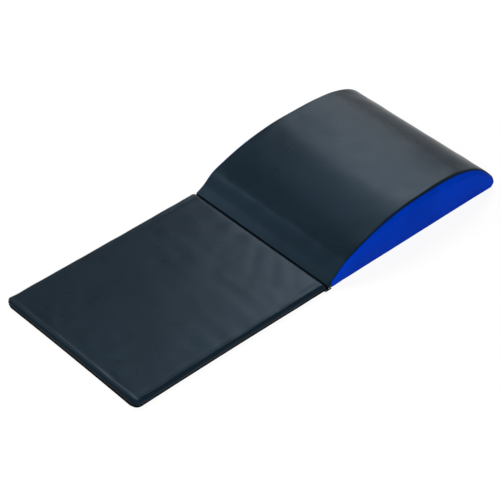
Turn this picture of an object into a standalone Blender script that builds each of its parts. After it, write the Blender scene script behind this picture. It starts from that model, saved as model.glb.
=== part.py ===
"""A folding ab mat: a contoured foam wedge with a thin tail pad hinged to its low end.

Both cushions are padded blocks. A block's side view is an upper and a lower line that meet at a tip
at each end, and its two sides turn over in a rolled rim. Covers, panels and foam are patches of the
same block at their own depth below the skin, so what fits together follows the same sizes.
Y runs from the tail pad to the wedge's thick end, X across the mat, and Z = 0 is the floor.
"""
import math

import bmesh
import bpy
from mathutils import Vector

# Overall sizes in metres
mat_width = 0.305
wedge_length = 0.375
wedge_height = 0.0705
pad_length = 0.379
pad_thickness = 0.0127
hinge_gap = 0.003

# Sewn skins
vinyl_thickness = 0.0012
panel_thickness = 0.0012
base_thickness = 0.001
clearance = 0.0003
seam_gap = 0.0004

# Wedge: corner radii of its side view, its rolled rim and the swell of its soft surfaces
toe_radius = 0.005
toe_slope = math.radians(12)
heel_radius = 0.0095
wedge_low_rim = 0.0020
wedge_rim_growth = 0.0115
rim_growth_power = 0.7
side_seam_angle = math.radians(28)
wedge_crown = 0.0006
wedge_side_draw = 0.0003
side_puff = 0.0015

# Knots of the wedge's back curve, as shares of its length and of its height
back_curve_shares = [
    (0.0423, 0.217),
    (0.0665, 0.343),
    (0.0937, 0.460),
    (0.1361, 0.560),
    (0.2601, 0.793),
    (0.4082, 0.955),
    (0.5645, 0.998),
    (0.6955, 0.985),
    (0.8064, 0.905),
    (0.9139, 0.673),
    (0.9689, 0.410),
]

# Tail pad: corner radii of its side view, its rolled rim and its swell
pad_top_radius = 0.006
pad_base_radius = 0.0025
pad_low_rim = 0.0025
pad_rim_growth = 0.0030
pad_plan_radius = 0.012
pad_crown = 0.001
pad_side_draw = 0.0012
pad_end_draw = 0.001

# Hinge: the web lies just off the floor, and its fold line is a little below the base covers
web_thickness = 0.0008
web_lift = 0.0003
web_end_margin = 0.0015
fold_line_drop = 0.0002

# Number of steps along the patches
wedge_rows = 36
pad_rows = 22
corner_steps = 4
rim_steps = 3
wall_steps = 4
flat_steps = 8
plain_steps = 2
spline_steps = 24

weld_distance = 0.00001
quarter_turn = math.pi / 2

# Colours, roughness
black_vinyl = ("black_vinyl", (0.012, 0.016, 0.020, 1.0), 0.42)
blue_vinyl = ("blue_vinyl", (0.0, 0.032, 0.370, 1.0), 0.45)
base_fabric = ("base_fabric", (0.010, 0.010, 0.011, 1.0), 0.85)
foam = ("foam", (0.080, 0.082, 0.085, 1.0), 0.95)
web_fabric = ("web_fabric", (0.008, 0.009, 0.010, 1.0), 0.80)


class Spot:
    """One point of a block's side view: its place, its inward direction and its rim radius."""

    def __init__(self, place, inward, rim):
        self.place = place
        self.inward = inward
        self.rim = rim


class Block:
    """A padded block: its upper and lower lines of spots, its size and how soft it looks."""

    half_width = mat_width / 2
    crown = 0.0
    side_draw = 0.0
    end_draw = 0.0
    puff = 0.0
    plan_radius = 0.0
    way = 1

    def __init__(self, upper, lower, length, height):
        self.upper = upper
        self.lower = lower
        self.length = length
        self.height = height


def clear_scene():
    for item in list(bpy.data.objects):
        bpy.data.objects.remove(item, do_unlink=True)


def make_material(look):
    name, colour, roughness = look
    material = bpy.data.materials.get(name)
    if material is None:
        material = bpy.data.materials.new(name)
        material.use_nodes = True
        shader = material.node_tree.nodes["Principled BSDF"]
        shader.inputs["Base Color"].default_value = colour
        shader.inputs["Roughness"].default_value = roughness
        shader.inputs["Metallic"].default_value = 0.0
    return material


def arc(centre, radius, start, end, steps):
    """Points on an arc of the side view, from one angle to the other, ends included."""
    points = []
    for step in range(steps + 1):
        angle = start + (end - start) * step / steps
        points.append(centre + radius * Vector((math.cos(angle), math.sin(angle))))
    return points


def eased(share):
    """A share that moves slowly near 0 and 1, so that steps are short near both ends."""
    return (1 - math.cos(math.pi * share)) / 2


def straight(start, end, steps):
    """The inner points of a straight run, without its ends."""
    return [start.lerp(end, eased(step / steps)) for step in range(1, steps)]


def smooth_through(knots, first_pull, last_pull):
    """A curve through the knots, with the pull given at each end and even flow at the others."""
    spans = [(after - before).length for before, after in zip(knots, knots[1:])]
    pulls = [first_pull]
    for index in range(1, len(knots) - 1):
        before = (knots[index] - knots[index - 1]) / spans[index - 1]
        after = (knots[index + 1] - knots[index]) / spans[index]
        share = spans[index - 1] / (spans[index - 1] + spans[index])
        pulls.append(before.lerp(after, share))
    pulls.append(last_pull)
    points = [knots[0]]
    for index, span in enumerate(spans):
        for step in range(1, spline_steps + 1):
            t = step / spline_steps
            rise = t * t * (3 - 2 * t)
            leave = t * (1 - t) * (1 - t) * span
            reach = t * t * (t - 1) * span
            point = knots[index].lerp(knots[index + 1], rise)
            points.append(point + pulls[index] * leave + pulls[index + 1] * reach)
    return points


def spaced(points, steps):
    """The same line with the given number of steps, closer together towards both its ends."""
    reached = [0.0]
    for before, after in zip(points, points[1:]):
        reached.append(reached[-1] + (after - before).length)
    result = [points[0]]
    index = 0
    for step in range(1, steps):
        even = step / steps
        target = reached[-1] * (even + eased(even)) / 2
        while reached[index + 1] < target:
            index += 1
        share = (target - reached[index]) / (reached[index + 1] - reached[index])
        result.append(points[index].lerp(points[index + 1], share))
    result.append(points[-1])
    return result


def make_spots(line, side, rim_radius):
    """Turn a line into spots. Side is 1 for an upper line and -1 for a lower one.

    Both lines stand upright at their two tips, so there the inward direction is level.
    """
    spots = []
    for index, place in enumerate(line):
        if index == 0:
            inward = Vector((1, 0))
        elif index == len(line) - 1:
            inward = Vector((-1, 0))
        else:
            back = place - line[index - 1]
            ahead = line[index + 1] - place
            share = back.length / (back.length + ahead.length)
            flow = back.normalized().lerp(ahead.normalized(), share).normalized()
            inward = side * Vector((flow.y, -flow.x))
        spots.append(Spot(place, inward, rim_radius(place)))
    return spots


def floor_line(upper, first_radius, last_radius):
    """The lower line: a round corner, the floor under the upper line's rows, and a round corner.

    Its first and last steps are one seam gap long, where the base cover ends.
    """
    first_tip = upper[0]
    last_tip = upper[-1]
    first_centre = first_tip + Vector((first_radius, 0.0))
    last_centre = last_tip - Vector((last_radius, 0.0))
    first_gap = seam_gap / first_radius
    last_gap = seam_gap / last_radius
    first = arc(first_centre, first_radius, math.pi + first_gap, math.pi + quarter_turn, corner_steps)
    last = arc(last_centre, last_radius, -quarter_turn, -last_gap, corner_steps)
    over = upper[corner_steps + 1:-corner_steps - 1]
    reach = over[-1].x - over[0].x
    middle = [first[-1].lerp(last[0], (place.x - over[0].x) / reach) for place in over[1:-1]]
    return [first_tip] + first + middle + last + [last_tip]


def wedge_block():
    """The wedge: a round toe, a long back that rises to its crown, and a round thick end."""
    height = wedge_height - wedge_crown
    centre = Vector((toe_radius, toe_radius))
    toe = arc(centre, toe_radius, math.pi, quarter_turn + toe_slope, corner_steps + 1)
    knots = [toe[-1]]
    knots += [Vector((along * wedge_length, up * height)) for along, up in back_curve_shares]
    knots += [Vector((wedge_length, heel_radius))]
    rise = Vector((math.cos(toe_slope), math.sin(toe_slope)))
    back = spaced(smooth_through(knots, rise, Vector((0, -1))), wedge_rows - corner_steps - 1)
    top = toe[:-1] + back
    floor = floor_line(top, toe_radius, heel_radius)

    def rim_radius(place):
        along = place.x / wedge_length
        return wedge_low_rim + wedge_rim_growth * place.y / height * along ** rim_growth_power

    upper = make_spots(top, 1, rim_radius)
    lower = make_spots(floor, -1, rim_radius)
    block = Block(upper, lower, wedge_length, height)
    block.crown = wedge_crown
    block.side_draw = wedge_side_draw
    block.puff = side_puff
    return block


def pad_block():
    """The tail pad: a thin slab with rounded edges, laid out from the hinge to its free end."""
    height = pad_thickness - pad_crown
    level = height - pad_top_radius
    near = Vector((pad_top_radius, level))
    far = Vector((pad_length - pad_top_radius, level))
    first = arc(near, pad_top_radius, math.pi, quarter_turn, corner_steps)
    last = arc(far, pad_top_radius, quarter_turn, 0.0, corner_steps)
    middle = straight(first[-1], last[0], pad_rows - 2 * corner_steps - 2)
    tips = [Vector((0.0, pad_base_radius)), Vector((pad_length, pad_base_radius))]
    top = [tips[0]] + first + middle + last + [tips[1]]
    floor = floor_line(top, pad_base_radius, pad_base_radius)

    def rim_radius(place):
        return pad_low_rim + pad_rim_growth * place.y / height

    upper = make_spots(top, 1, rim_radius)
    lower = make_spots(floor, -1, rim_radius)
    block = Block(upper, lower, pad_length, height)
    block.crown = pad_crown
    block.side_draw = pad_side_draw
    block.end_draw = pad_end_draw
    block.plan_radius = pad_plan_radius
    block.way = -1
    return block


def rim_point(block, row, depth, station):
    """A point on the rolled rim: angle 0 at the flat, a quarter turn at the side wall."""
    level, side, angle, shift = station
    spot = block.upper[row] if level == "upper" else block.lower[row]
    turn = angle + shift / spot.rim
    ring = spot.rim - depth
    place = spot.place + spot.inward * (spot.rim - ring * math.cos(turn))
    across = side * (block.half_width - spot.rim + ring * math.sin(turn))
    return Vector((across, place.x, place.y))


def flat_point(block, row, depth, station):
    level, share = station
    left = rim_point(block, row, depth, (level, -1, 0.0, 0.0))
    right = rim_point(block, row, depth, (level, 1, 0.0, 0.0))
    return left.lerp(right, share)


def wall_point(block, row, depth, station):
    """A point on the side wall, which swells most halfway up and where the wall is tall."""
    side, share = station
    top = rim_point(block, row, depth, ("upper", side, quarter_turn, 0.0))
    foot = rim_point(block, row, depth, ("lower", side, quarter_turn, 0.0))
    point = top.lerp(foot, share)
    tallness = (top - foot).length / block.height
    point.x += side * block.puff * 4 * share * (1 - share) * tallness
    return point


def round_corner(block, point):
    """Turn the two square corners of the free end, seen from above, into round ones."""
    inner_x = block.half_width - block.plan_radius
    inner_y = block.length - block.plan_radius
    over_x = abs(point.x) - inner_x
    over_y = point.y - inner_y
    if over_x <= 0 or over_y <= 0:
        return point
    shrink = max(over_x, over_y) / math.hypot(over_x, over_y)
    x = math.copysign(inner_x + over_x * shrink, point.x)
    return Vector((x, inner_y + over_y * shrink, point.z))


def soften(block, corner):
    """Draw in the sides and the free end between the corners, and crown the top."""
    point = round_corner(block, corner)
    along = min(max(point.y / block.length, 0.0), 1.0)
    waist = 4 * along * (1 - along)
    across = point.x / block.half_width
    middle = 1 - across * across
    swell = middle if block.end_draw == 0 else middle * waist
    x = point.x * (1 - block.side_draw / block.half_width * waist)
    y = point.y - block.end_draw * along ** 3 * middle
    z = point.z * (1 + block.crown / block.height * swell)
    return Vector((x, block.way * (hinge_gap / 2 + y), z))


def rim_run(level, side, start, end, steps, start_shift=0.0, end_shift=0.0):
    run = []
    for step in range(steps + 1):
        share = step / steps
        angle = start + (end - start) * share
        shift = start_shift + (end_shift - start_shift) * share
        run.append((rim_point, (level, side, angle, shift)))
    return run


def flat_run(level, start, end, steps):
    """The inner stations of a flat, without the ends that the rims give."""
    shares = [start + (end - start) * eased(step / steps) for step in range(1, steps)]
    return [(flat_point, (level, share)) for share in shares]


def wall_run(side, start, end, steps):
    """The inner stations of a side wall, from 0 at its top to 1 at its foot."""
    return [(wall_point, (side, start + (end - start) * step / steps)) for step in range(1, steps)]


def top_stations(angle, shift):
    left = rim_run("upper", -1, angle, 0.0, rim_steps, shift, 0.0)
    right = rim_run("upper", 1, 0.0, angle, rim_steps, 0.0, shift)
    return left + flat_run("upper", 0.0, 1.0, flat_steps) + right


def base_stations(angle, shift):
    right = rim_run("lower", 1, angle, 0.0, rim_steps, shift, 0.0)
    left = rim_run("lower", -1, 0.0, angle, rim_steps, 0.0, shift)
    return right + flat_run("lower", 1.0, 0.0, plain_steps) + left


def side_stations(side):
    """From the upper side seam down the wall to the lower one, and the other way on the left."""
    half_gap = seam_gap / 2
    top = rim_run("upper", side, side_seam_angle, quarter_turn, rim_steps, half_gap, 0.0)
    foot = rim_run("lower", side, quarter_turn, side_seam_angle, rim_steps, 0.0, half_gap)
    stations = top + wall_run(side, 0.0, 1.0, wall_steps) + foot
    return stations if side > 0 else stations[::-1]


def wrap_stations():
    """Over the top and down both walls to the lower rims."""
    left = wall_run(-1, 1.0, 0.0, plain_steps)
    right = wall_run(1, 0.0, 1.0, plain_steps)
    foot = ("lower", -1, quarter_turn, 0.0), ("lower", 1, quarter_turn, 0.0)
    stations = [(rim_point, foot[0])] + left + top_stations(quarter_turn, 0.0) + right
    return stations + [(rim_point, foot[1])]


def hoop_stations(steps):
    """All the way round: top, right wall, base and left wall, back to the start."""
    top = rim_run("upper", -1, quarter_turn, 0.0, rim_steps)
    top += flat_run("upper", 0.0, 1.0, plain_steps) + rim_run("upper", 1, 0.0, quarter_turn, rim_steps)
    base = rim_run("lower", 1, quarter_turn, 0.0, rim_steps)
    base += flat_run("lower", 1.0, 0.0, plain_steps) + rim_run("lower", -1, 0.0, quarter_turn, rim_steps)
    right = wall_run(1, 0.0, 1.0, steps)
    left = wall_run(-1, 1.0, 0.0, steps)
    return top + right + base + left + top[:1]


def make_patch(name, block, stations, rows, depths, look, parent, collection):
    """A patch of the block: its columns are the stations and its rows the side view's spots.

    With one depth it is a skin that closes on itself. With two it is a sheet as thick as their
    difference: the skin at the first depth is extruded, and the copy goes to the second.
    """
    bm = bmesh.new()
    row_layer = bm.verts.layers.int.new("row")
    station_layer = bm.verts.layers.int.new("station")
    columns = len(stations) - 1
    bmesh.ops.create_grid(bm, x_segments=columns, y_segments=len(rows) - 1, size=1)
    for vert in bm.verts:
        vert[row_layer] = rows[round((vert.co.y + 1) / 2 * (len(rows) - 1))]
        vert[station_layer] = round((vert.co.x + 1) / 2 * columns)

    def lay(verts, depth):
        for vert in verts:
            place, station = stations[vert[station_layer]]
            vert.co = soften(block, place(block, vert[row_layer], depth, station))

    lay(bm.verts, depths[0])
    bmesh.ops.remove_doubles(bm, verts=bm.verts, dist=weld_distance)
    for inner_depth in depths[1:]:
        copy = bmesh.ops.extrude_face_region(bm, geom=bm.faces, use_keep_orig=True)
        lay([item for item in copy["geom"] if isinstance(item, bmesh.types.BMVert)], inner_depth)
    bmesh.ops.recalc_face_normals(bm, faces=bm.faces)
    if bm.calc_volume(signed=True) < 0:
        bmesh.ops.reverse_faces(bm, faces=bm.faces)
    for face in bm.faces:
        face.smooth = True
    return place_mesh(name, bm, look, parent, collection)


def place_mesh(name, bm, look, parent, collection):
    mesh = bpy.data.meshes.new(name)
    bm.to_mesh(mesh)
    bm.free()
    mesh.materials.append(make_material(look))
    item = bpy.data.objects.new(name, mesh)
    collection.objects.link(item)
    item.parent = parent
    item.location = (0.0, 0.0, -parent.location.z)
    return item


def make_wedge(axle, collection):
    block = wedge_block()
    every_row = range(wedge_rows + 1)
    base_rows = range(1, wedge_rows)
    foam_depth = max(vinyl_thickness, panel_thickness, base_thickness) + clearance
    hoop = hoop_stations(wall_steps)
    make_patch("wedge_foam_core", block, hoop, every_row, [foam_depth], foam, axle, collection)
    half_gap = seam_gap / 2
    top = top_stations(side_seam_angle, -half_gap)
    make_patch("wedge_top_cover", block, top, every_row, [0.0, vinyl_thickness],
               black_vinyl, axle, collection)
    for name, side in (("wedge_side_panel_left", -1), ("wedge_side_panel_right", 1)):
        make_patch(name, block, side_stations(side), every_row, [0.0, panel_thickness],
                   blue_vinyl, axle, collection)
    base = base_stations(side_seam_angle, -half_gap)
    make_patch("wedge_base_cover", block, base, base_rows, [0.0, base_thickness],
               base_fabric, axle, collection)


def make_pad(axle, collection):
    block = pad_block()
    every_row = range(pad_rows + 1)
    base_rows = range(1, pad_rows)
    foam_depth = max(vinyl_thickness, base_thickness) + clearance
    hoop = hoop_stations(plain_steps)
    make_patch("tail_pad_foam", block, hoop, every_row, [foam_depth], foam, axle, collection)
    make_patch("tail_pad_top_cover", block, wrap_stations(), every_row, [0.0, vinyl_thickness],
               black_vinyl, axle, collection)
    base = base_stations(quarter_turn, -seam_gap)
    make_patch("tail_pad_base_cover", block, base, base_rows, [0.0, base_thickness],
               base_fabric, axle, collection)


def corner_reach(radius, height):
    """How far a round lower corner stands back from its tip at this height above the floor."""
    return radius - math.sqrt(radius ** 2 - (radius - height) ** 2)


def make_hinge_web(axle, collection):
    """The strip of fabric that fills the foot of the groove between the two lower corners."""
    top = web_lift + web_thickness
    pad_side = -(hinge_gap / 2 + corner_reach(pad_base_radius, top) - clearance)
    wedge_side = hinge_gap / 2 + corner_reach(toe_radius, top) - clearance
    low = Vector((-mat_width / 2 + web_end_margin, pad_side, web_lift))
    high = Vector((mat_width / 2 - web_end_margin, wedge_side, top))
    bm = bmesh.new()
    bmesh.ops.create_cube(bm, size=1)
    for vert in bm.verts:
        vert.co = (low + high) / 2 + vert.co * (high - low)
    place_mesh("hinge_web", bm, web_fabric, axle, collection)


def make_axle(name, height, collection):
    """An empty on the hinge line, which carries one cushion."""
    axle = bpy.data.objects.new(name, None)
    axle.location = (0.0, (pad_length - wedge_length) / 2, height)
    collection.objects.link(axle)
    return axle


def main():
    clear_scene()
    collection = bpy.data.collections.new("ab_mat")
    bpy.context.scene.collection.children.link(collection)
    wedge_axle = make_axle("wedge_axle", 0.0, collection)
    pad_axle = make_axle("tail_pad_axle", -fold_line_drop, collection)
    make_wedge(wedge_axle, collection)
    make_pad(pad_axle, collection)
    make_hinge_web(wedge_axle, collection)


main()
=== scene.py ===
"""The looks of a folding ab mat: vinyl covers sewn round foam, woven bases and a fabric hinge web.

Each cushion is a padded block. Its side view lies between an upper and a lower line that meet at a
tip at each end, and its sides turn over in a rolled rim. A cover is a grid on its block: rows run
along the cushion from the hinge, and ring places go round it, 0 to 1 up the left side, 1 to 2 over
the top, 2 to 3 down the right side and 3 to 4 back under the base.
"""
import math

import bmesh
import bpy
import numpy as np
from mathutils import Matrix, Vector, noise


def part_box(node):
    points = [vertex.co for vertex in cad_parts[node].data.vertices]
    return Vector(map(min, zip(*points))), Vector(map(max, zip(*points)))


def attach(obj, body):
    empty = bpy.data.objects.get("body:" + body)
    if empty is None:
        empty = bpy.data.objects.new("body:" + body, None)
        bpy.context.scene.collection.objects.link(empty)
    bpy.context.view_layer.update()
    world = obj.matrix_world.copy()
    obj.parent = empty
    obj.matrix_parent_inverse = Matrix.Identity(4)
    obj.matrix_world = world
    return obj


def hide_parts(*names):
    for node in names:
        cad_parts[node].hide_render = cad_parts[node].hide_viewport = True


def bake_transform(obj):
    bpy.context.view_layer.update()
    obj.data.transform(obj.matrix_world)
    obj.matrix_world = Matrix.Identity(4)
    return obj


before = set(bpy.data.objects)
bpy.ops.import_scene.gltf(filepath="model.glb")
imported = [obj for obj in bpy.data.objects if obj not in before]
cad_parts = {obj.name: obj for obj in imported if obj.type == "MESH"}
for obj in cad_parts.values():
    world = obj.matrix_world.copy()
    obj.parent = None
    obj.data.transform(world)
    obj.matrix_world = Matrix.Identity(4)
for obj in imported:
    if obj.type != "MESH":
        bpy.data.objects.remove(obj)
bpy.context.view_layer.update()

# Real sizes in metres, as the solids have them
mat_width = 0.305
half_width = mat_width / 2
top_low, top_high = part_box("wedge_top_cover")
_, pad_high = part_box("tail_pad_top_cover")
hinge_gap = top_low.y - pad_high.y
hinge_y = (top_low.y + pad_high.y) / 2
wedge_length = top_high.y - top_low.y
wedge_height = top_high.z
pad_thickness = pad_high.z
pad_length = 0.379

# Wedge: its side view, its rolled rim and the swell of its soft surfaces
toe_radius = 0.005
toe_fold_radius = 0.0034
toe_height = 0.0085
toe_slope = math.radians(29)
toe_even_reach = 0.060
toe_even_passes = 60
back_even_passes = 20
heel_radius = 0.0095
wedge_low_rim = 0.0020
wedge_rim_growth = 0.0115
rim_growth_power = 0.7
wedge_crown = 0.0006
wedge_side_draw = 0.0003
wedge_side_puff = 0.0015
back_curve_shares = [
    (0.0423, 0.232), (0.0665, 0.345), (0.0937, 0.460), (0.1361, 0.560), (0.2601, 0.793),
    (0.4082, 0.955), (0.5645, 0.998), (0.6955, 0.985), (0.8064, 0.905), (0.9139, 0.673), (0.9689, 0.410),
]

# Tail pad: its side view, its rolled rim and its swell
pad_top_radius = 0.006
pad_base_radius = 0.0025
pad_low_rim = 0.0025
pad_rim_growth = 0.0030
pad_plan_radius = 0.012
pad_crown = 0.001
pad_side_draw = 0.0012
pad_end_draw = 0.001

# The pad's base fabric comes up its sides and its free end, but not beside the hinge. Partly this is
# painted shade: the dark fabric standing higher stands in for the shade along the pad's foot.
pad_seam_rise = 0.0028
pad_seam_rise_share = 0.58
pad_seam_rise_start = 0.012
pad_seam_rise_reach = 0.040

# Seams: where they run, how far each edge rolls in and how far its allowance goes down
side_seam_angle = math.radians(28)
seam_roll = 0.0011
side_roll = 0.0020
roll_room_share = 0.45
seam_tuck = 0.0012
seam_slit = 0.00005
toe_wrap_start = 0.003
toe_wrap_end = 0.009
panel_start = 0.0002
vinyl_thickness = 0.0008
base_thickness = 0.0007
foam_depth = 0.0030

# Grid steps
tip_steps = 12
wedge_rows = 120
pad_rows = 130
top_columns = 84
base_columns = 30
side_columns = 26
rim_columns = 12
roll_steps = 4
side_samples = 61
ring_samples = 401
foam_ring_samples = 61
foam_row_step = 2
spline_steps = 24

# Small distances: how deep the skin's direction is felt, what is welded, and what counts as nothing
skin_probe = 0.0005
weld_distance = 0.00001
tiny = 1e-12

quarter_turn = math.pi / 2


class Block:
    """A cushion's rows: upper and lower places (along, up), inward directions and rim radii."""

    def __init__(self, upper, lower, length, height, way, rim_radius, relief):
        self.upper = upper
        self.lower = lower
        self.length = length
        self.height = height
        self.way = way
        self.relief = relief
        self.upper_in = inward_of(upper, 1)
        self.lower_in = inward_of(lower, -1)
        self.upper_rim = rim_radius(upper)
        self.lower_rim = rim_radius(lower)
        self.crown = 0.0
        self.side_draw = 0.0
        self.end_draw = 0.0
        self.puff = 0.0
        self.plan_radius = 0.0

    def measure_sides(self):
        """How far down the side each turn is, row by row: turn 1 ends the upper rim, 2 the wall."""
        self.turns = np.linspace(0.0, 3.0, side_samples)
        turn = np.broadcast_to(self.turns, (len(self.upper), side_samples))
        path = side_place(self, turn, np.zeros(turn.shape))
        steps = np.linalg.norm(np.diff(path, axis=1), axis=2)
        self.reached = np.concatenate([np.zeros((len(path), 1)), np.cumsum(steps, axis=1)], axis=1)
        self.side_length = self.reached[:, -1]
        self.rings = np.linspace(0.0, 4.0, ring_samples)
        self.swell = np.zeros((len(self.upper), ring_samples))

    def share_at(self, turn):
        """The share of the way down the side, row by row, at which this turn is."""
        turns = np.broadcast_to(turn, len(self.reached))
        return np.array([np.interp(row_turn, self.turns, reached) / reached[-1]
                         for row_turn, reached in zip(turns, self.reached)])


def arc(centre, radius, start, end, steps):
    angles = np.linspace(start, end, steps + 1)
    return np.array(centre) + radius * np.stack([np.cos(angles), np.sin(angles)], axis=1)


def smooth_through(knots, first_pull, last_pull):
    """A curve through the knots, with the pull given at each end and even flow at the others."""
    knots = np.array(knots)
    steps = np.diff(knots, axis=0)
    spans = np.linalg.norm(steps, axis=1)
    flow = steps / spans[:, None]
    share = (spans[:-1] / (spans[:-1] + spans[1:]))[:, None]
    pulls = np.concatenate([[first_pull], flow[:-1] * (1 - share) + flow[1:] * share, [last_pull]])
    t = np.linspace(0.0, 1.0, spline_steps + 1)[1:, None]
    rise = t * t * (3 - 2 * t)
    points = [knots[:1]]
    for index, span in enumerate(spans):
        leave = t * (1 - t) ** 2 * span * pulls[index]
        reach = t * t * (t - 1) * span * pulls[index + 1]
        points.append(knots[index] + rise * steps[index] + leave + reach)
    return np.concatenate(points)


def along_line(line):
    steps = np.linalg.norm(np.diff(line, axis=0), axis=1)
    return np.concatenate([[0.0], np.cumsum(steps)])


def at_lengths(line, lengths):
    reached = along_line(line)
    return np.stack([np.interp(lengths, reached, line[:, axis]) for axis in (0, 1)], axis=1)


def evened(values, passes):
    """Smooth a run of values a little, with both its ends kept."""
    values = values.copy()
    for _ in range(passes):
        values[1:-1] = (values[:-2] + 2 * values[1:-1] + values[2:]) / 4
    return values


def roll_places(radius):
    """Distances from a seam at which its rolled edge has a row or a column."""
    angles = np.linspace(0.0, quarter_turn, roll_steps + 1)
    return radius * (1 - np.cos(angles))


def roll_depth(distance, radius):
    """How far a rolled edge has sunk at this distance from its seam."""
    inside = np.clip(1 - distance / np.maximum(radius, tiny), 0.0, 1.0)
    return radius * (1 - np.sqrt(1 - inside ** 2))


def tip_lengths(length):
    """Row places near a tip: the tuck and the seam, then the rolled edge, then even steps."""
    roll = roll_places(seam_roll)
    rest = np.linspace(roll[-1], length, tip_steps - roll_steps + 1)[1:]
    return np.concatenate([[0.0], roll, rest])


def middle_shares(steps):
    """Shares between two ends, a little closer together towards both of them."""
    even = np.linspace(0.0, 1.0, steps + 1)[1:-1]
    return (even + (1 - np.cos(math.pi * even)) / 2) / 2


def paired_lines(top, first_radius, last_radius, first_zone, last_zone, rows, last_rise=0.0):
    """Rows of the upper line and, for each, the place of the lower line under it.

    The lower line has a round at each end, and rises this much further to the last tip.
    """
    length = top[-1, 0]
    whole = along_line(top)[-1]
    middle = first_zone + (whole - first_zone - last_zone) * middle_shares(rows)
    ends = tip_lengths(first_zone), whole - tip_lengths(last_zone)[::-1]
    upper = at_lengths(top, np.concatenate([ends[0], middle, ends[1]]))
    first = arc((first_radius, first_radius), first_radius, math.pi, 3 * quarter_turn, spline_steps)
    last = arc((length - last_radius, last_radius), last_radius, -quarter_turn, 0.0, spline_steps)
    if last_rise > 0:
        last = np.concatenate([last, [(length, last_radius + last_rise)]])
    first = at_lengths(first, tip_lengths(along_line(first)[-1]))
    last_length = along_line(last)[-1]
    last = at_lengths(last, last_length - tip_lengths(last_length)[::-1])
    over = upper[len(first) - 1:len(upper) - len(last) + 1, 0]
    share = ((over - over[0]) / (over[-1] - over[0]))[1:-1, None]
    floor = first[-1] * (1 - share) + last[0] * share
    return upper, np.concatenate([first, floor, last])


def inward_of(line, side):
    """Inward directions of a line: level at its two tips, across its flow elsewhere."""
    flow = np.gradient(line, axis=0)
    flow[2:-2] = line[3:-1] - line[1:-3]
    flow /= np.maximum(np.linalg.norm(flow, axis=1), tiny)[:, None]
    inward = side * np.stack([flow[:, 1], -flow[:, 0]], axis=1)
    inward[:2] = (1.0, 0.0)
    inward[-2:] = (-1.0, 0.0)
    return inward


def wedge_block():
    """The wedge: a round toe, a long back that rises to its crown, and a round thick end."""
    height = wedge_height - wedge_crown
    toe = arc((toe_fold_radius, toe_height - toe_fold_radius), toe_fold_radius,
              math.pi, quarter_turn + toe_slope, spline_steps)
    toe = np.concatenate([[(0.0, toe_radius)], toe])
    knots = [toe[-1]]
    knots += [(along * wedge_length, up * height) for along, up in back_curve_shares]
    knots += [(wedge_length, heel_radius)]
    rise = (math.cos(toe_slope), math.sin(toe_slope))
    back = smooth_through(knots, rise, (0.0, -1.0))
    back = evened(back, back_even_passes)
    near_toe = back[:, 0] < toe_even_reach
    back[near_toe] = evened(back[near_toe], toe_even_passes)
    top = np.concatenate([toe[:-1], back])
    first_zone = along_line(toe)[-1]
    last_zone = heel_radius * quarter_turn
    upper, lower = paired_lines(top, toe_radius, heel_radius, first_zone, last_zone, wedge_rows)

    def rim_radius(line):
        along = np.clip(line[:, 0] / wedge_length, 0.0, 1.0)
        return wedge_low_rim + wedge_rim_growth * line[:, 1] / height * along ** rim_growth_power

    block = Block(upper, lower, wedge_length, height, 1, rim_radius, wedge_relief)
    block.crown = wedge_crown
    block.side_draw = wedge_side_draw
    block.puff = wedge_side_puff
    block.measure_sides()
    return block


def pad_block():
    """The tail pad: a thin slab with rounded edges, laid out from the hinge to its free end."""
    height = pad_thickness - pad_crown
    level = height - pad_top_radius
    far = pad_length - pad_top_radius
    first = arc((pad_top_radius, level), pad_top_radius, math.pi, quarter_turn, spline_steps)
    last = arc((far, level), pad_top_radius, quarter_turn, 0.0, spline_steps)
    # The free end's lower tip stands higher, so the dark base fabric comes up the end: partly painted
    # shade along its foot.
    end_tip = pad_length, pad_base_radius + pad_seam_rise
    top = np.concatenate([[(0.0, pad_base_radius)], first, last, [end_tip]])
    zone = level - pad_base_radius + pad_top_radius * quarter_turn
    upper, lower = paired_lines(top, pad_base_radius, pad_base_radius, zone, zone - pad_seam_rise,
                                pad_rows, pad_seam_rise)

    def rim_radius(line):
        return pad_low_rim + pad_rim_growth * line[:, 1] / height

    block = Block(upper, lower, pad_length, height, -1, rim_radius, pad_relief)
    block.crown = pad_crown
    block.side_draw = pad_side_draw
    block.end_draw = pad_end_draw
    block.plan_radius = pad_plan_radius
    block.measure_sides()
    return block


def rim_place(place, inward, rim, angle, depth):
    """(across from the middle, along, up) on a rolled rim, for arrays of rows and columns."""
    ring = rim[:, None] - depth
    sunk = rim[:, None] - ring * np.cos(angle)
    flat = place[:, None, :] + inward[:, None, :] * sunk[..., None]
    across = half_width - rim[:, None] + ring * np.sin(angle)
    return np.concatenate([across[..., None], flat], axis=2)


def side_place(block, turn, depth):
    """Places on the right side: turn 0 to 1 is the upper rim, to 2 the wall, to 3 the lower rim."""
    upper_angle = np.clip(turn, 0.0, 1.0) * quarter_turn
    lower_angle = np.clip(3 - turn, 0.0, 1.0) * quarter_turn
    upper = rim_place(block.upper, block.upper_in, block.upper_rim, upper_angle, depth)
    lower = rim_place(block.lower, block.lower_in, block.lower_rim, lower_angle, depth)
    share = np.clip(turn - 1, 0.0, 1.0)[..., None]
    place = upper * (1 - share) + lower * share
    tallness = np.linalg.norm(upper - lower, axis=2) / block.height
    share = share[..., 0]
    place[..., 0] += block.puff * 4 * share * (1 - share) * tallness
    return place


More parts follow.
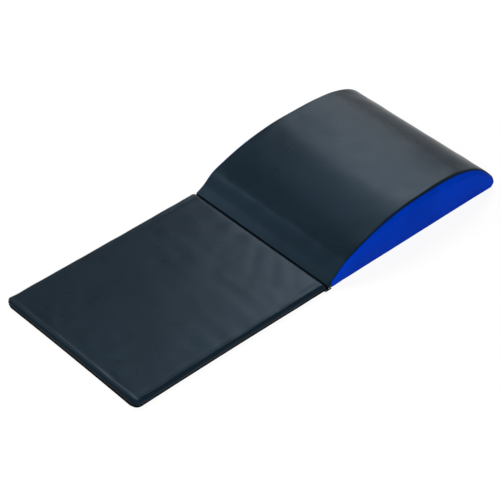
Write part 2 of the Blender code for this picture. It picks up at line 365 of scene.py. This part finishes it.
def ring_place(block, ring, depth):
    """Places for arrays of ring places and depths below the skin, before the block is softened."""
    left_or_right = np.where(ring < 1, -1, 1)
    down = np.where(ring < 1, 1 - ring, ring - 2)
    turn = np.array([np.interp(row * reached[-1], reached, block.turns)
                     for row, reached in zip(np.clip(down, 0.0, 1.0), block.reached)])
    side = side_place(block, turn, depth)
    side[..., 0] *= left_or_right
    reach = half_width - block.upper_rim[:, None]
    flat = block.upper[:, None, :] + block.upper_in[:, None, :] * depth[..., None]
    over = np.concatenate([((2 * ring - 3) * reach)[..., None], flat], axis=2)
    reach = half_width - block.lower_rim[:, None]
    flat = block.lower[:, None, :] + block.lower_in[:, None, :] * depth[..., None]
    under = np.concatenate([((7 - 2 * ring) * reach)[..., None], flat], axis=2)
    place = np.where((ring >= 1)[..., None] & (ring <= 2)[..., None], over, side)
    return np.where((ring >= 3)[..., None], under, place)


def soften(block, place):
    """Round the free end's corners, draw in the sides and the free end, and crown the top."""
    x, y, z = place[..., 0], place[..., 1], place[..., 2]
    if block.plan_radius:
        inner_x = half_width - block.plan_radius
        inner_y = block.length - block.plan_radius
        over_x = np.maximum(np.abs(x) - inner_x, 0.0)
        over_y = np.maximum(y - inner_y, 0.0)
        corner = (over_x > 0) & (over_y > 0)
        shrink = np.maximum(over_x, over_y) / np.maximum(np.hypot(over_x, over_y), tiny)
        x = np.where(corner, np.copysign(inner_x + over_x * shrink, x), x)
        y = np.where(corner, inner_y + over_y * shrink, y)
    along = np.clip(y / block.length, 0.0, 1.0)
    waist = 4 * along * (1 - along)
    middle = 1 - (x / half_width) ** 2
    swell = middle * waist if block.end_draw else middle
    x = x * (1 - block.side_draw / half_width * waist)
    y = y - block.end_draw * along ** 3 * middle
    z = z * (1 + block.crown / block.height * swell)
    return np.stack([x, hinge_y + block.way * (hinge_gap / 2 + y), z], axis=2)


def place_under(block, ring, depth):
    """Places of a block at ring places, all at one depth below its skin."""
    return soften(block, ring_place(block, ring, np.full(ring.shape, depth)))


def outward(block, ring):
    """Outward directions at ring places: from just under the skin to the skin."""
    across = place_under(block, ring, 0.0) - place_under(block, ring, skin_probe)
    return across / np.linalg.norm(across, axis=2)[..., None]


def swell_at(block, ring):
    """How far the skin is swollen at ring places, from the block's table of even ring places."""
    return np.array([np.interp(places, block.rings, row) for places, row in zip(ring, block.swell)])


def lay(block, ring, depth):
    """The soft surface at ring places: the block's own shape, its swell and its small relief."""
    place = place_under(block, ring, 0.0)
    normal = outward(block, ring)
    lift = block.relief(place, ring) + swell_at(block, ring) - depth
    return place + normal * lift[..., None], normal


def clouds(place, size, seed):
    """Smooth noise between about -1 and 1, with features of this size."""
    shift = Vector([seed * step for step in seed_steps])
    flat = place.reshape(-1, 3) / size
    values = [noise.noise(Vector(point) + shift) for point in flat]
    return np.array(values).reshape(place.shape[:2])


def fade(distance, length):
    """1 at distance 0, falling smoothly to 0 at this length."""
    share = np.clip(distance / length, 0.0, 1.0)
    return 1 - share * share * (3 - 2 * share)


def ridge(distance, width):
    """1 along a line, falling off on both sides of it in the shape of a bell."""
    return np.exp(-(distance / width) ** 2)


def down_side(ring):
    """How far down the side a ring place is, 1 being its foot. It is 0 or less on the top."""
    return np.abs(ring - 1.5) - 0.5


# Unevenness of the stuffed surfaces: how high and how wide its waves are, and where they fade
top_wave = 0.00030
top_wave_size = 0.055
panel_wave = 0.00020
panel_wave_size = 0.040
hinge_wave = 0.0005
hinge_wave_size = 0.035
hinge_wave_reach = 0.14
hinge_calm_reach = 0.012
wedge_top_fade = 0.3
panel_fade = 0.5
pad_top_fade = 0.2
pad_relief_reach = 0.4
wedge_top_seed = 1
panel_seed = 2
pad_top_seed = 3
pad_hinge_seed = 4
seed_steps = (7.3, 3.1, 5.7)

# The tail pad's pinched side edges: a ridge and a groove, deepest beside the hinge
pinch_reach = 0.115
pinch_ridge_inset = 0.0060
pinch_ridge_width = 0.0026
pinch_ridge_height = 0.0005
pinch_groove_inset = 0.0105
pinch_groove_depth = 0.0012
pinch_far_share = 0.35

# The raised line along the tail pad's free end
end_welt_height = 0.0014
end_welt_inset = 0.0056
end_welt_width = 0.0036

# How far the tail pad's top rounds off towards its two ends
end_fall = 0.0012
end_fall_reach = 0.012
hinge_fall = 0.0007
hinge_fall_reach = 0.014

# How far the foot of each cushion fills out its lower round, but never past this share of its height
foot_fill = 0.0008
foot_share = 0.85

# How much the wedge's side panels are drawn flat below their upper seam, 1 being a flat panel
panel_flatness = 0.85


def square_foot(place, radius):
    """Fill out a round foot of this radius: most at the middle of the round, nothing at its ends."""
    angle = np.arccos(np.clip(1 - place[..., 2] / radius, 0.0, 1.0))
    return np.clip(foot_fill * np.sin(2 * angle), 0.0, foot_share * np.maximum(place[..., 2], 0.0))


def wedge_relief(place, ring):
    """How far the wedge's skin stands out or in: waves on its top and its panels, and its foot."""
    on_top = fade(down_side(ring), wedge_top_fade)
    on_side = fade(np.abs(down_side(ring) - 0.5), panel_fade)
    lift = top_wave * clouds(place, top_wave_size, wedge_top_seed) * on_top
    lift += panel_wave * clouds(place, panel_wave_size, panel_seed) * on_side
    return lift + square_foot(place, wedge_low_rim)


def pad_relief(place, ring):
    """How far the pad's skin stands out or in: waves, pinches, the raised line, falls and foot."""
    on_top = down_side(ring) < pad_relief_reach
    from_hinge = hinge_y - place[..., 1]
    near = pinch_far_share + (1 - pinch_far_share) * fade(from_hinge, pinch_reach)
    inset = half_width - np.abs(place[..., 0])
    pinch = pinch_ridge_height * ridge(inset - pinch_ridge_inset, pinch_ridge_width)
    pinch -= pinch_groove_depth * ridge(inset - pinch_groove_inset, pinch_ridge_width)
    lift = top_wave * clouds(place, top_wave_size, pad_top_seed)
    by_hinge = fade(from_hinge, hinge_wave_reach)
    lift += hinge_wave * clouds(place, hinge_wave_size, pad_hinge_seed) * by_hinge
    lift *= fade(down_side(ring), pad_top_fade)
    from_end = pad_length + hinge_gap / 2 - from_hinge
    lift += end_welt_height * ridge(from_end - end_welt_inset, end_welt_width)
    on_fold = np.clip((place[..., 2] - pad_thickness) / pad_top_radius + 1, 0.0, 1.0)
    fall = end_fall * np.clip(1 - from_end / end_fall_reach, 0.0, 1.0) ** 2
    fall += hinge_fall * np.clip(1 - from_hinge / hinge_fall_reach, 0.0, 1.0) ** 2
    calm = 1 - fade(from_hinge - hinge_gap / 2, hinge_calm_reach)
    lift = (lift + pinch * near) * calm - fall * on_fold
    return np.where(on_top, lift, 0.0) + square_foot(place, pad_low_rim)


def flatten_panels(block):
    """Draw the side panels towards the straight line from their upper seam to the wall."""
    middle = (side_seam_angle + quarter_turn) / 2
    half = (quarter_turn - side_seam_angle) / 2
    down = down_side(block.rings)
    for row, reached in enumerate(block.reached):
        turn = np.interp(np.clip(down, 0.0, 1.0) * reached[-1], reached, block.turns)
        off = np.abs(np.clip(turn, 0.0, 1.0) * quarter_turn - middle)
        drawn = np.clip(1 - math.cos(half) / np.cos(np.minimum(off, half)), 0.0, 1.0)
        drawn[(down <= 0) | (turn >= 1) | (block.rings > 3)] = 0.0
        block.swell[row] -= panel_flatness * block.upper_rim[row] * drawn


def row_distance(block):
    """How far each row is from the seams at the two tips, along the upper and the lower line."""
    found = []
    for line in (block.upper, block.lower):
        reached = along_line(line)
        found.append(np.minimum(reached, reached[-1] - reached))
    return found


def edge_columns(block, border, inner, columns, radius):
    """Ring places from a seam inwards, and the seam's depth at each of them.

    They are the tuck, the slit and the rolled edge, then even steps. Where the patch is narrow the
    rolled edge is scaled down to fit it.
    """
    length = block.side_length
    room = np.abs(inner - border) * length
    scale = np.minimum(1.0, room * roll_room_share / radius)
    way = np.where(inner >= border, 1.0, -1.0)
    places = roll_places(radius)[None, :] * scale[:, None]
    rolled = border[:, None] + (seam_slit * scale[:, None] + places) * (way / length)[:, None]
    share = np.linspace(0.0, 1.0, columns + 1)[1:]
    rest = rolled[:, -1:] + (inner[:, None] - rolled[:, -1:]) * share
    sunk = roll_depth(places, (radius * scale)[:, None])
    tuck = sunk[:, :1] + seam_tuck * scale[:, None]
    ring = np.concatenate([rolled[:, :1], rolled, rest], axis=1)
    return ring, np.concatenate([tuck, sunk, np.zeros(rest.shape)], axis=1)


def tip_depth(block, ring, depth):
    """Deepen a patch beside its seams at the two tips."""
    upper, lower = row_distance(block)
    rows = roll_depth(np.where(ring > 3, lower[:, None], upper[:, None]), seam_roll)
    rows[[0, -1]] += seam_tuck
    return np.maximum(depth, rows)


def wedge_seams(block):
    """Shares down the wedge's side at which its upper and its lower seam run, row by row."""
    upper = block.share_at(side_seam_angle / quarter_turn)
    lower = block.share_at(3 - side_seam_angle / quarter_turn)
    wrap = fade(block.upper[:, 0] - toe_wrap_start, toe_wrap_end - toe_wrap_start)
    return upper * (1 - wrap) + lower * wrap, lower


def pad_seam(block):
    """The share down the pad's side at which its one seam runs, row by row."""
    # Where the seam rises, the dark base fabric comes up the side: partly painted shade along the pad's
    # foot.
    rise = pad_seam_rise_share * fade(block.upper[:, 0] - pad_seam_rise_start, pad_seam_rise_reach)
    return block.share_at(2.0 - rise)


def add_object(name, data):
    """A new object in the scene with this mesh, camera or light."""
    piece = bpy.data.objects.new(name, data)
    bpy.context.scene.collection.objects.link(piece)
    return piece


def add_mesh(name, bm):
    """A new smooth object in the scene, from a mesh under construction."""
    for face in bm.faces:
        face.smooth = True
    mesh = bpy.data.meshes.new(name)
    bm.to_mesh(mesh)
    bm.free()
    return add_object(name, mesh)


def tube(place):
    """An open tube through a grid of places, its rows round it, and its grid of points."""
    count, columns = place.shape[:2]
    bm = bmesh.new()
    verts = [[bm.verts.new(place[row, column]) for column in range(columns)] for row in range(count)]
    for near, far in zip(verts, verts[1:]):
        for column in range(columns):
            after = (column + 1) % columns
            bm.faces.new((near[column], near[after], far[after], far[column]))
    return bm, verts


# Cloth simulation: a coarse skin of each cushion, held at its seams, tips and base
cloth_frames = 20
cloth_quality = 5
cloth_row_step = 0.0055
cloth_side_columns = 10
cloth_top_columns = 56
cloth_base_columns = 20
cloth_pressure = 0.3
cloth_slack = 0.006
cloth_bending = 0.5
cloth_foam_hold = 0.15
cloth_cap = 0.0015
cloth_calm_reach = 0.040
cloth_even_passes = 16


def cloth_places(piece):
    """Where a short simulation under inner pressure takes the points of a held skin."""
    cloth = piece.modifiers.new("swell", "CLOTH")
    settings = cloth.settings
    settings.quality = cloth_quality
    settings.bending_stiffness = cloth_bending
    settings.use_pressure = True
    settings.uniform_pressure_force = cloth_pressure
    settings.shrink_min = -cloth_slack
    settings.vertex_group_mass = "held"
    settings.effector_weights.gravity = 0.0
    cloth.collision_settings.use_collision = False
    cloth.point_cache.frame_end = cloth_frames
    for step in range(1, cloth_frames + 1):
        bpy.context.scene.frame_set(step)
    settled = piece.evaluated_get(bpy.context.evaluated_depsgraph_get())
    places = np.array([vert.co for vert in settled.to_mesh().vertices])
    settled.to_mesh_clear()
    bpy.context.scene.frame_set(1)
    return places


def swell_by_cloth(block, seams):
    """Lift the block's skin, row by row and round the ring, as its simulated cover settles."""
    reached = along_line(block.upper)
    wanted = np.arange(cloth_row_step, reached[-1], cloth_row_step)
    rows = np.unique(np.clip(np.searchsorted(reached, wanted), 1, len(reached) - 2))
    counts = cloth_side_columns, cloth_top_columns, cloth_side_columns, cloth_base_columns
    ring = np.concatenate([index + np.arange(count) / count for index, count in enumerate(counts)])
    every = np.broadcast_to(ring, (len(reached), len(ring)))
    place = place_under(block, every, 0.0)[rows]
    normal = outward(block, every)[rows]
    held = np.broadcast_to((ring == 0) | (ring >= 3), place.shape[:2]).copy()
    held[[0, -1]] = True
    for seam in seams:
        nearest = np.abs(ring[None, :] - seam[rows, None]).argmin(axis=1)
        held[np.arange(len(rows)), nearest] = True
    bm, _ = tube(place)
    bmesh.ops.holes_fill(bm, edges=bm.edges)
    bmesh.ops.recalc_face_normals(bm, faces=bm.faces)
    piece = add_mesh("cloth_skin", bm)
    group = piece.vertex_groups.new(name="held")
    group.add(range(held.size), cloth_foam_hold, "REPLACE")
    group.add(np.nonzero(held.ravel())[0].tolist(), 1.0, "REPLACE")
    moved = cloth_places(piece).reshape(place.shape) - place
    bpy.data.objects.remove(piece)
    lift = np.clip(np.sum(moved * normal, axis=2), -cloth_cap, cloth_cap)
    lift = np.stack([np.interp(reached, reached[rows], column) for column in lift.T], axis=1)
    lift = np.concatenate([lift, lift[:, :1]], axis=1) * (1 - fade(reached, cloth_calm_reach))[:, None]
    table = np.array([np.interp(block.rings, np.append(ring, 4.0), row) for row in lift])
    block.swell = evened(evened(table, cloth_even_passes).T, cloth_even_passes).T


def level_columns(block, first, last, columns):
    """Evenly spaced ring places between two that the patch already has, for every row."""
    ring = np.linspace(first, last, columns + 1)[1:-1]
    return np.broadcast_to(ring, (len(block.upper), columns - 1))


def top_grid(block, seam, radius):
    """Ring places and depths of a cover from its seam on one side, over the top, to the other."""
    rows = len(seam)
    left, left_depth = edge_columns(block, 1 - seam, np.ones(rows), rim_columns, radius)
    right, right_depth = edge_columns(block, 2 + seam, np.full(rows, 2.0), rim_columns, radius)
    flat = level_columns(block, 1.0, 2.0, top_columns)
    ring = np.concatenate([left, flat, right[:, ::-1]], axis=1)
    depth = np.concatenate([left_depth, np.zeros(flat.shape), right_depth[:, ::-1]], axis=1)
    return ring, tip_depth(block, ring, depth)


def base_grid(block, seam):
    """Ring places and depths of a base from its seam on one side, underneath, to the other."""
    rows = len(seam)
    right, right_depth = edge_columns(block, 2 + seam, np.full(rows, 3.0), rim_columns // 2, seam_roll)
    left, left_depth = edge_columns(block, 1 - seam, np.zeros(rows), rim_columns // 2, seam_roll)
    flat = level_columns(block, 3.0, 4.0, base_columns)
    ring = np.concatenate([right, flat, 4 + left[:, ::-1]], axis=1)
    depth = np.concatenate([right_depth, np.zeros(flat.shape), left_depth[:, ::-1]], axis=1)
    return ring % 4, tip_depth(block, ring, depth)


def panel_grid(block, upper, lower, side):
    """Ring places and depths of a side panel, between its two seams."""
    top, bottom = (2 + upper, 2 + lower) if side > 0 else (1 - upper, 1 - lower)
    middle = (top + bottom) / 2
    first, first_depth = edge_columns(block, top, middle, side_columns // 2, side_roll)
    last, last_depth = edge_columns(block, bottom, middle, side_columns // 2, seam_roll)
    ring = np.concatenate([first, last[:, -2::-1]], axis=1)
    return ring, np.concatenate([first_depth, last_depth[:, -2::-1]], axis=1)


def sheet_mesh(name, block, grid, thickness, rows=slice(None)):
    """A closed sheet: its outer skin is laid as a grid, welded, extruded and laid again inside."""
    outer, normal = lay(block, *grid)
    inner = outer - normal * thickness
    outer, inner = outer[rows], inner[rows]
    count, columns = outer.shape[:2]
    bm = bmesh.new()
    row_layer = bm.verts.layers.int.new("row")
    column_layer = bm.verts.layers.int.new("column")
    bmesh.ops.create_grid(bm, x_segments=columns - 1, y_segments=count - 1, size=1)
    for vert in bm.verts:
        vert[row_layer] = round((vert.co.y + 1) / 2 * (count - 1))
        vert[column_layer] = round((vert.co.x + 1) / 2 * (columns - 1))

    def put(verts, places):
        for vert in verts:
            vert.co = places[vert[row_layer], vert[column_layer]]

    put(bm.verts, outer)
    bmesh.ops.remove_doubles(bm, verts=bm.verts, dist=weld_distance)
    copy = bmesh.ops.extrude_face_region(bm, geom=bm.faces, use_keep_orig=True)
    put([item for item in copy["geom"] if isinstance(item, bmesh.types.BMVert)], inner)
    bmesh.ops.recalc_face_normals(bm, faces=bm.faces)
    if bm.calc_volume(signed=True) < 0:
        bmesh.ops.reverse_faces(bm, faces=bm.faces)
    return add_mesh(name, bm)


def dress(piece, material, body, node):
    """Finish a piece: its material, the body it rides on and the solid it stands for."""
    piece.data.materials.append(material)
    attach(piece, body)
    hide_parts(node)


# Looks: colours and gloss, the sizes of grain, yarns and pores, and the ranges of their patterns
black_colour = (0.0034, 0.0090, 0.0145)
black_roughness = 0.30
black_specular = 0.10
black_tint = (0.35, 0.66, 1.0)
blue_colour = (0.0, 0.043, 0.52)
blue_roughness = 0.50
blue_specular = 0.015
blue_tint = (0.0, 0.25, 1.0)
noise_range = (0.3, 0.7)
cloud_size = 0.09
cloud_shades = (0.86, 1.14)
gloss_size = 0.03
gloss_change = 0.03
grain_size = 0.0011
fine_grain_size = 0.0005
coarse_grain_size = 0.004
grain_depth = 0.00012
# The base fabric's black is partly its own and partly painted shade: it is set darker than the fabric,
# to stand for the shade along the cushions' foot.
base_black_and_foot_shade = (0.0045, 0.0048, 0.0052)
base_pitch = 0.0014
web_colour = (0.0055, 0.0060, 0.0065)
web_pitch = 0.0009
weave_roughness = 0.9
weave_specular = 0.02
weave_range = (0.4, 2.2)
weave_shades = (0.55, 1.35)
weave_depth = 0.00025
fuzz_size = 0.0007
unit_wave_pitch = math.pi / 10
foam_colour = (0.080, 0.082, 0.085)
pore_colours = (0.045, 0.046, 0.048), (0.10, 0.102, 0.105)
pore_range = (0.1, 0.6)
pore_size = 0.0016
pore_depth = 0.0003
foam_roughness = 0.95
foam_specular = 0.2


class Shader:
    """Builds one procedural material, node by node, round its Principled shader."""

    def __init__(self, name, colour, roughness, specular, tint=(1.0, 1.0, 1.0)):
        self.material = bpy.data.materials.new(name)
        self.material.use_nodes = True
        self.nodes = self.material.node_tree.nodes
        self.links = self.material.node_tree.links
        self.principled = self.nodes["Principled BSDF"]
        self.principled.inputs["Base Color"].default_value = (*colour, 1.0)
        self.principled.inputs["Roughness"].default_value = roughness
        self.principled.inputs["Specular IOR Level"].default_value = specular
        self.principled.inputs["Specular Tint"].default_value = (*tint, 1.0)
        self.place = self.nodes.new("ShaderNodeTexCoord").outputs["Object"]

    def noise(self, size, detail=3.0, rough=0.5):
        node = self.nodes.new("ShaderNodeTexNoise")
        node.inputs["Scale"].default_value = 1 / size
        node.inputs["Detail"].default_value = detail
        node.inputs["Roughness"].default_value = rough
        self.links.new(self.place, node.inputs["Vector"])
        return node.outputs["Fac"]

    def cells(self, size):
        node = self.nodes.new("ShaderNodeTexVoronoi")
        node.inputs["Scale"].default_value = 1 / size
        self.links.new(self.place, node.inputs["Vector"])
        return node.outputs["Distance"]

    def remap(self, value, from_low, from_high, low=0.0, high=1.0):
        node = self.nodes.new("ShaderNodeMapRange")
        node.inputs["From Min"].default_value = from_low
        node.inputs["From Max"].default_value = from_high
        node.inputs["To Min"].default_value = low
        node.inputs["To Max"].default_value = high
        self.links.new(value, node.inputs["Value"])
        return node.outputs["Result"]

    def add(self, first, second, share):
        """The first value, plus a share of the second."""
        node = self.nodes.new("ShaderNodeMath")
        node.operation = "MULTIPLY_ADD"
        self.links.new(second, node.inputs[0])
        node.inputs[1].default_value = share
        self.links.new(first, node.inputs[2])
        return node.outputs["Value"]

    def colour_between(self, value, first, second):
        """The surface's colour, mixed between two by a value from 0 to 1."""
        node = self.nodes.new("ShaderNodeMix")
        node.data_type = "RGBA"
        node.inputs["A"].default_value = (*first, 1.0)
        node.inputs["B"].default_value = (*second, 1.0)
        self.links.new(value, node.inputs["Factor"])
        self.links.new(node.outputs["Result"], self.principled.inputs["Base Color"])

    def roughness_from(self, value):
        self.links.new(value, self.principled.inputs["Roughness"])

    def bump(self, height, depth, strength):
        node = self.nodes.new("ShaderNodeBump")
        node.inputs["Distance"].default_value = depth
        node.inputs["Strength"].default_value = strength
        self.links.new(height, node.inputs["Height"])
        self.links.new(node.outputs["Normal"], self.principled.inputs["Normal"])


def scaled(colour, factor):
    return tuple(channel * factor for channel in colour)


def vinyl(name, colour, roughness, specular, tint):
    """Soft vinyl: leather-like grain, faint cloudy shade and uneven gloss."""
    shader = Shader(name, colour, roughness, specular, tint)
    cloud = shader.remap(shader.noise(cloud_size, detail=4.0, rough=0.55), *noise_range)
    shader.colour_between(cloud, *[scaled(colour, factor) for factor in cloud_shades])
    dull, shiny = roughness + gloss_change, roughness - gloss_change
    gloss = shader.remap(shader.noise(gloss_size), *noise_range, low=shiny, high=dull)
    shader.roughness_from(gloss)
    grain = shader.add(shader.cells(grain_size), shader.noise(fine_grain_size, detail=2.0), share=0.5)
    grain = shader.add(grain, shader.noise(coarse_grain_size, detail=2.0), share=0.4)
    shader.bump(grain, grain_depth, strength=0.5)
    return shader.material


def woven(name, colour, pitch):
    """Woven fabric: two crossing sets of yarns, with some fuzz.

    A wave texture whose scale is 1 repeats every unit_wave_pitch.
    """
    shader = Shader(name, colour, weave_roughness, weave_specular)
    yarns = []
    for direction in ("X", "Y"):
        wave = shader.nodes.new("ShaderNodeTexWave")
        wave.bands_direction = direction
        wave.inputs["Scale"].default_value = unit_wave_pitch / pitch
        wave.inputs["Distortion"].default_value = 0.4
        wave.inputs["Detail Scale"].default_value = 2.0
        shader.links.new(shader.place, wave.inputs["Vector"])
        yarns.append(wave.outputs["Fac"])
    weave = shader.add(*yarns, share=1.0)
    fuzzy = shader.add(weave, shader.noise(fuzz_size, detail=2.0), share=0.6)
    shade = shader.remap(fuzzy, *weave_range)
    shader.colour_between(shade, *[scaled(colour, factor) for factor in weave_shades])
    shader.bump(weave, weave_depth, strength=0.8)
    return shader.material


def porous(name, colour):
    """Cut foam: small open cells."""
    shader = Shader(name, colour, foam_roughness, foam_specular)
    pores = shader.cells(pore_size)
    shader.colour_between(shader.remap(pores, *pore_range), *pore_colours)
    shader.bump(pores, pore_depth, strength=0.8)
    return shader.material


black_vinyl = vinyl("black_vinyl_grain", black_colour, black_roughness, black_specular, black_tint)
blue_vinyl = vinyl("blue_vinyl_grain", blue_colour, blue_roughness, blue_specular, blue_tint)
base_fabric = woven("base_weave", base_black_and_foot_shade, base_pitch)
web_fabric = woven("web_weave", web_colour, web_pitch)
foam = porous("foam_cells", foam_colour)


def make_foam(name, block, body, node):
    """The foam in a block: one closed skin, some way under the covers."""
    ring = np.linspace(0.0, 4.0, foam_ring_samples)[:-1]
    ring = np.broadcast_to(ring, (len(block.upper), len(ring)))
    bm, verts = tube(place_under(block, ring, foam_depth)[1:-1:foam_row_step])
    for row in (verts[0], verts[-1]):
        bm.faces.new(row)
    bmesh.ops.recalc_face_normals(bm, faces=bm.faces)
    dress(add_mesh(name, bm), foam, body, node)


def make_wedge():
    """The wedge's top cover, its two side panels, its base and its foam."""
    block = wedge_block()
    upper, lower = wedge_seams(block)
    swell_by_cloth(block, (1 - upper, 2 + upper))
    flatten_panels(block)
    dress(sheet_mesh("wedge_vinyl_top", block, top_grid(block, upper, side_roll), vinyl_thickness),
          black_vinyl, "wedge", "wedge_top_cover")
    shown = np.nonzero((lower - upper) * block.side_length > panel_start)[0]
    rows = slice(shown[0], len(upper) - 1)
    for side, word in ((-1, "left"), (1, "right")):
        grid = panel_grid(block, upper, lower, side)
        dress(sheet_mesh("wedge_vinyl_side_" + word, block, grid, vinyl_thickness, rows),
              blue_vinyl, "wedge", "wedge_side_panel_" + word)
    dress(sheet_mesh("wedge_base_fabric", block, base_grid(block, lower), base_thickness),
          base_fabric, "wedge", "wedge_base_cover")
    make_foam("wedge_foam_block", block, "wedge", "wedge_foam_core")


def make_pad():
    """The tail pad's top cover, its base and its foam."""
    block = pad_block()
    seam = pad_seam(block)
    swell_by_cloth(block, (1 - seam, 2 + seam))
    dress(sheet_mesh("tail_pad_vinyl_top", block, top_grid(block, seam, seam_roll), vinyl_thickness),
          black_vinyl, "tail_pad", "tail_pad_top_cover")
    dress(sheet_mesh("tail_pad_base_fabric", block, base_grid(block, seam), base_thickness),
          base_fabric, "tail_pad", "tail_pad_base_cover")
    make_foam("tail_pad_foam_block", block, "tail_pad", "tail_pad_foam")


# Hinge web: a woven strip across the foot of the groove, whose ends stand out at the mat's sides
web_columns = 60
web_rows = 14
web_belly = 0.0004
web_tab_start = 0.0003
web_side_reach = 0.0024
web_flare = 0.0040


def make_web():
    """The web's strip: its middle hangs a little, and its ends flare past the mat's sides."""
    low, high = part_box("hinge_web")
    middle, half = (low.y + high.y) / 2, (high.y - low.y) / 2
    tab = [half_width + web_tab_start, half_width + web_side_reach]
    inner = np.linspace(-half_width, half_width, web_columns + 1 - 2 * len(tab))
    across = np.concatenate([np.negative(tab)[::-1], inner, tab])
    bm = bmesh.new()
    bmesh.ops.create_grid(bm, x_segments=web_columns, y_segments=web_rows, size=1)
    for vert in bm.verts:
        x = across[round((vert.co.x + 1) / 2 * web_columns)]
        along = vert.co.y
        flare = web_flare * along if abs(x) > half_width else 0.0
        vert.co = (x, middle + half * along + flare, high.z - web_belly * (1 - along ** 2))
    thick = (high.z - low.z) / 2
    copy = bmesh.ops.extrude_face_region(bm, geom=bm.faces, use_keep_orig=True)
    for item in copy["geom"]:
        if isinstance(item, bmesh.types.BMVert):
            item.co.z -= thick
    bmesh.ops.recalc_face_normals(bm, faces=bm.faces)
    piece = add_mesh("hinge_web_strip", bm)
    piece.data.materials.append(web_fabric)
    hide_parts("hinge_web")
    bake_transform(piece)


# Camera: the photograph's viewing angle, fitted on the mat's outline
camera_azimuth = math.radians(47.543)
camera_elevation = math.radians(40.765)
camera_distance = 3.1615
camera_lens = 145.4
camera_right = -0.01449
camera_up = -0.01223


def make_camera():
    """The camera, which looks at a point close to the middle of the groove."""
    right = Vector((math.cos(camera_azimuth), math.sin(camera_azimuth), 0.0))
    level = Vector((math.sin(camera_azimuth), -math.cos(camera_azimuth), 0.0))
    back = level * math.cos(camera_elevation) + Vector((0.0, 0.0, math.sin(camera_elevation)))
    up = back.cross(right)
    data = bpy.data.cameras.new("camera")
    data.lens = camera_lens
    camera = add_object("camera", data)
    aim = Vector((0.0, hinge_y, 0.0)) + right * camera_right + up * camera_up
    camera.location = aim + back * camera_distance
    camera.rotation_mode = "QUATERNION"
    camera.rotation_quaternion = back.to_track_quat("Z", "Y")
    bpy.context.scene.camera = camera


# Studio: soft boxes at (azimuth, elevation, distance, width, height, power)
studio_lights = {
    "back_box": (-36, 45, 2.03, 0.6, 0.9, 14.0),
    "back_low_box": (-36, 24, 2.2, 0.6, 0.4, 3.0),
    "back_high_box": (-66, 60, 2.2, 0.5, 0.6, 5.0),
    "left_box": (247, 45, 2.2, 0.6, 0.6, 9.0),
    "front_left_box": (225, 33, 2.2, 0.9, 0.9, 7.5),
    "front_right_box": (135, 35, 2.2, 0.9, 0.9, 25.0),
    "right_box": (90, 35, 2.2, 0.9, 0.9, 7.0),
}
world_level = 0.0
floor_size = 12.0
floor_segments = 8
floor_drop = 0.0002
floor_grey = (0.9, 0.9, 0.9, 1.0)
floor_white_share = 0.85
floor_white_level = 1.05
pure_white = (1.0, 1.0, 1.0, 1.0)


def make_light(name, azimuth, elevation, distance, width, height, power):
    """A soft box that faces the mat. Azimuth 0 is beyond the wedge and 90 at its right side."""
    turn, rise = math.radians(azimuth), math.radians(elevation)
    data = bpy.data.lights.new(name, "AREA")
    data.shape = "RECTANGLE"
    data.size = width
    data.size_y = height
    data.energy = power
    light = add_object(name, data)
    level = math.cos(rise)
    direction = Vector((math.sin(turn) * level, math.cos(turn) * level, math.sin(rise)))
    light.location = direction * distance
    light.rotation_mode = "QUATERNION"
    light.rotation_quaternion = direction.to_track_quat("Z", "Y")


def seen_directly(nodes, links):
    """1 where the camera sees a surface, also in a mirror or through glass, and 0 elsewhere."""
    path = nodes.new("ShaderNodeLightPath")
    seen = path.outputs["Is Camera Ray"]
    for kind in ("Is Glossy Ray", "Is Transmission Ray"):
        both = nodes.new("ShaderNodeMath")
        both.operation = "ADD"
        both.use_clamp = True
        links.new(seen, both.inputs[0])
        links.new(path.outputs[kind], both.inputs[1])
        seen = both.outputs["Value"]
    return seen


def make_floor():
    """A white studio floor: what is seen of it is mostly its own white, with a faint shadow."""
    bm = bmesh.new()
    bmesh.ops.create_grid(bm, x_segments=floor_segments, y_segments=floor_segments, size=floor_size / 2)
    floor = add_mesh("studio_floor", bm)
    floor.location.z = -floor_drop
    material = bpy.data.materials.new("studio_white")
    material.use_nodes = True
    nodes, links = material.node_tree.nodes, material.node_tree.links
    nodes.clear()
    out = nodes.new("ShaderNodeOutputMaterial")
    matt = nodes.new("ShaderNodeBsdfDiffuse")
    matt.inputs["Color"].default_value = floor_grey
    white = nodes.new("ShaderNodeEmission")
    white.inputs["Color"].default_value = pure_white
    white.inputs["Strength"].default_value = floor_white_level
    share = nodes.new("ShaderNodeMath")
    share.operation = "MULTIPLY"
    share.inputs[1].default_value = floor_white_share
    links.new(seen_directly(nodes, links), share.inputs[0])
    mix = nodes.new("ShaderNodeMixShader")
    links.new(share.outputs["Value"], mix.inputs["Fac"])
    links.new(matt.outputs["BSDF"], mix.inputs[1])
    links.new(white.outputs["Emission"], mix.inputs[2])
    links.new(mix.outputs["Shader"], out.inputs["Surface"])
    floor.data.materials.append(material)


def make_world():
    """A white backdrop all round, which adds no light of its own to the mat."""
    world = bpy.data.worlds.new("studio")
    bpy.context.scene.world = world
    world.use_nodes = True
    nodes, links = world.node_tree.nodes, world.node_tree.links
    nodes.clear()
    out = nodes.new("ShaderNodeOutputWorld")
    dim = nodes.new("ShaderNodeBackground")
    dim.inputs["Strength"].default_value = world_level
    white = nodes.new("ShaderNodeBackground")
    for background in (dim, white):
        background.inputs["Color"].default_value = pure_white
    mix = nodes.new("ShaderNodeMixShader")
    links.new(seen_directly(nodes, links), mix.inputs["Fac"])
    links.new(dim.outputs["Background"], mix.inputs[1])
    links.new(white.outputs["Background"], mix.inputs[2])
    links.new(mix.outputs["Shader"], out.inputs["Surface"])


make_wedge()
make_pad()
make_web()
make_camera()
for light_name, light_values in studio_lights.items():
    make_light(light_name, *light_values)
make_floor()
make_world()
bpy.context.scene.view_settings.view_transform = "Standard"
